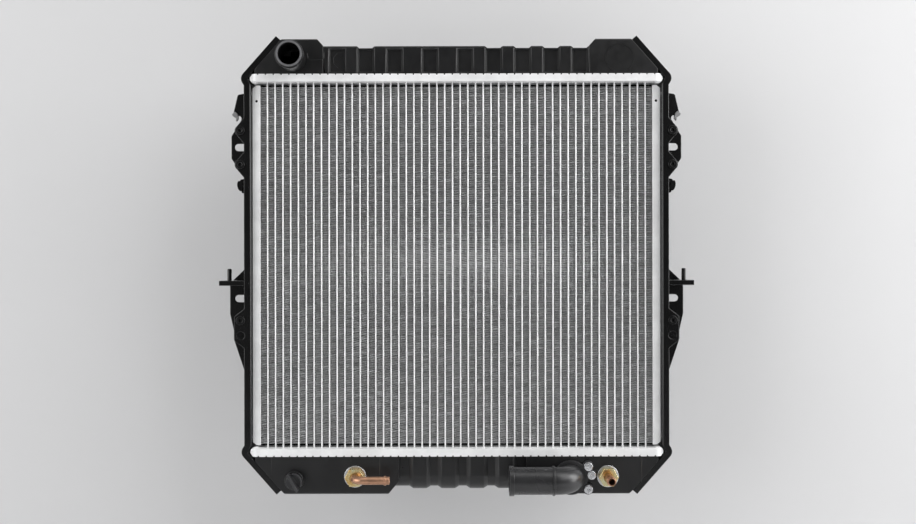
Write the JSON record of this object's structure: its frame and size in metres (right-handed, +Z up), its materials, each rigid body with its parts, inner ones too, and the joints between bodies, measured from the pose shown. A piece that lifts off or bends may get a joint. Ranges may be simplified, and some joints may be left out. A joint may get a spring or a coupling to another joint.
{
  "type": "car radiator",
  "caption": "Car radiator: upright tube-and-fin core, crimped plastic end tanks with hose necks and an oil cooler, hung on two steel side brackets.",
  "frame": {"origin": "middle of the four vehicle mounting slots, on the mounting face at the back of the brackets", "axes": "+X to the right as seen from the engine side, along the tanks; +Y to the rear of the brackets, out of the mounting face; +Z up"},
  "size_m": [0.614, 0.0957, 0.5906],
  "materials": {
    "tube_aluminium": "satin, brazed",
    "fin_aluminium": "thin folded sheet",
    "sheet_aluminium": "satin, brazed",
    "rubber": "moulded",
    "black_plastic": "moulded, glass filled",
    "gloss_plastic": "moulded, smooth",
    "black_paint": "gloss dip paint",
    "zinc": "bright zinc plate",
    "brass": "plain",
    "gold_zinc": "yellow passivated plate",
    "copper_pipe": "copper, dull"
  },
  "bodies": {
    "radiator": {"core_tubes": "tube_aluminium", "core_fins": "fin_aluminium", "right_side_plate": "sheet_aluminium", "left_side_plate": "sheet_aluminium", "top_header": "sheet_aluminium", "bottom_header": "sheet_aluminium", "top_gasket": "rubber", "bottom_gasket": "rubber", "top_tank": "black_plastic", "bottom_tank": "black_plastic", "right_bracket": "black_paint", "left_bracket": "black_paint", "right_weld_nuts": "black_paint", "left_weld_nuts": "black_paint", "right_pin_shelf": "black_paint", "left_pin_shelf": "black_paint", "right_locating_pin": "black_paint", "left_locating_pin": "black_paint", "right_clip_tab": "black_paint", "left_clip_tab": "black_paint", "bracket_bolts": "zinc", "bracket_inserts": "brass", "outlet_elbow": "gloss_plastic", "outlet_o_ring": "rubber", "outlet_screws": "zinc", "cooler_outer_tube": "brass", "cooler_inner_tube": "brass", "cooler_end_rings": "brass", "cooler_turbulator": "brass", "cooler_ports": "brass", "cooler_gaskets": "rubber", "cooler_washers": "zinc", "cooler_nuts": "gold_zinc", "left_cooler_pipe": "copper_pipe", "right_cooler_pipe": "copper_pipe"},
    "drain_seal": {"drain_seal": "rubber"},
    "drain_cock": {"drain_cock": "black_plastic"}
  },
  "joints": [
    {"name": "drain_slide", "type": "slide", "parent": "radiator", "child": "drain_seal", "axis": [0, -1, 0], "range_m": [0, 0.005]},
    {"name": "drain_turn", "type": "hinge", "parent": "drain_seal", "child": "drain_cock", "pos_m": [-0.2085, -0.06, -0.3325], "axis": [0, -1, 0], "range_deg": [0, 740]}
  ],
  "couplings": [
    {"joint": "drain_turn", "follows": "drain_slide", "rad_per_m": 2513.3}
  ]
}
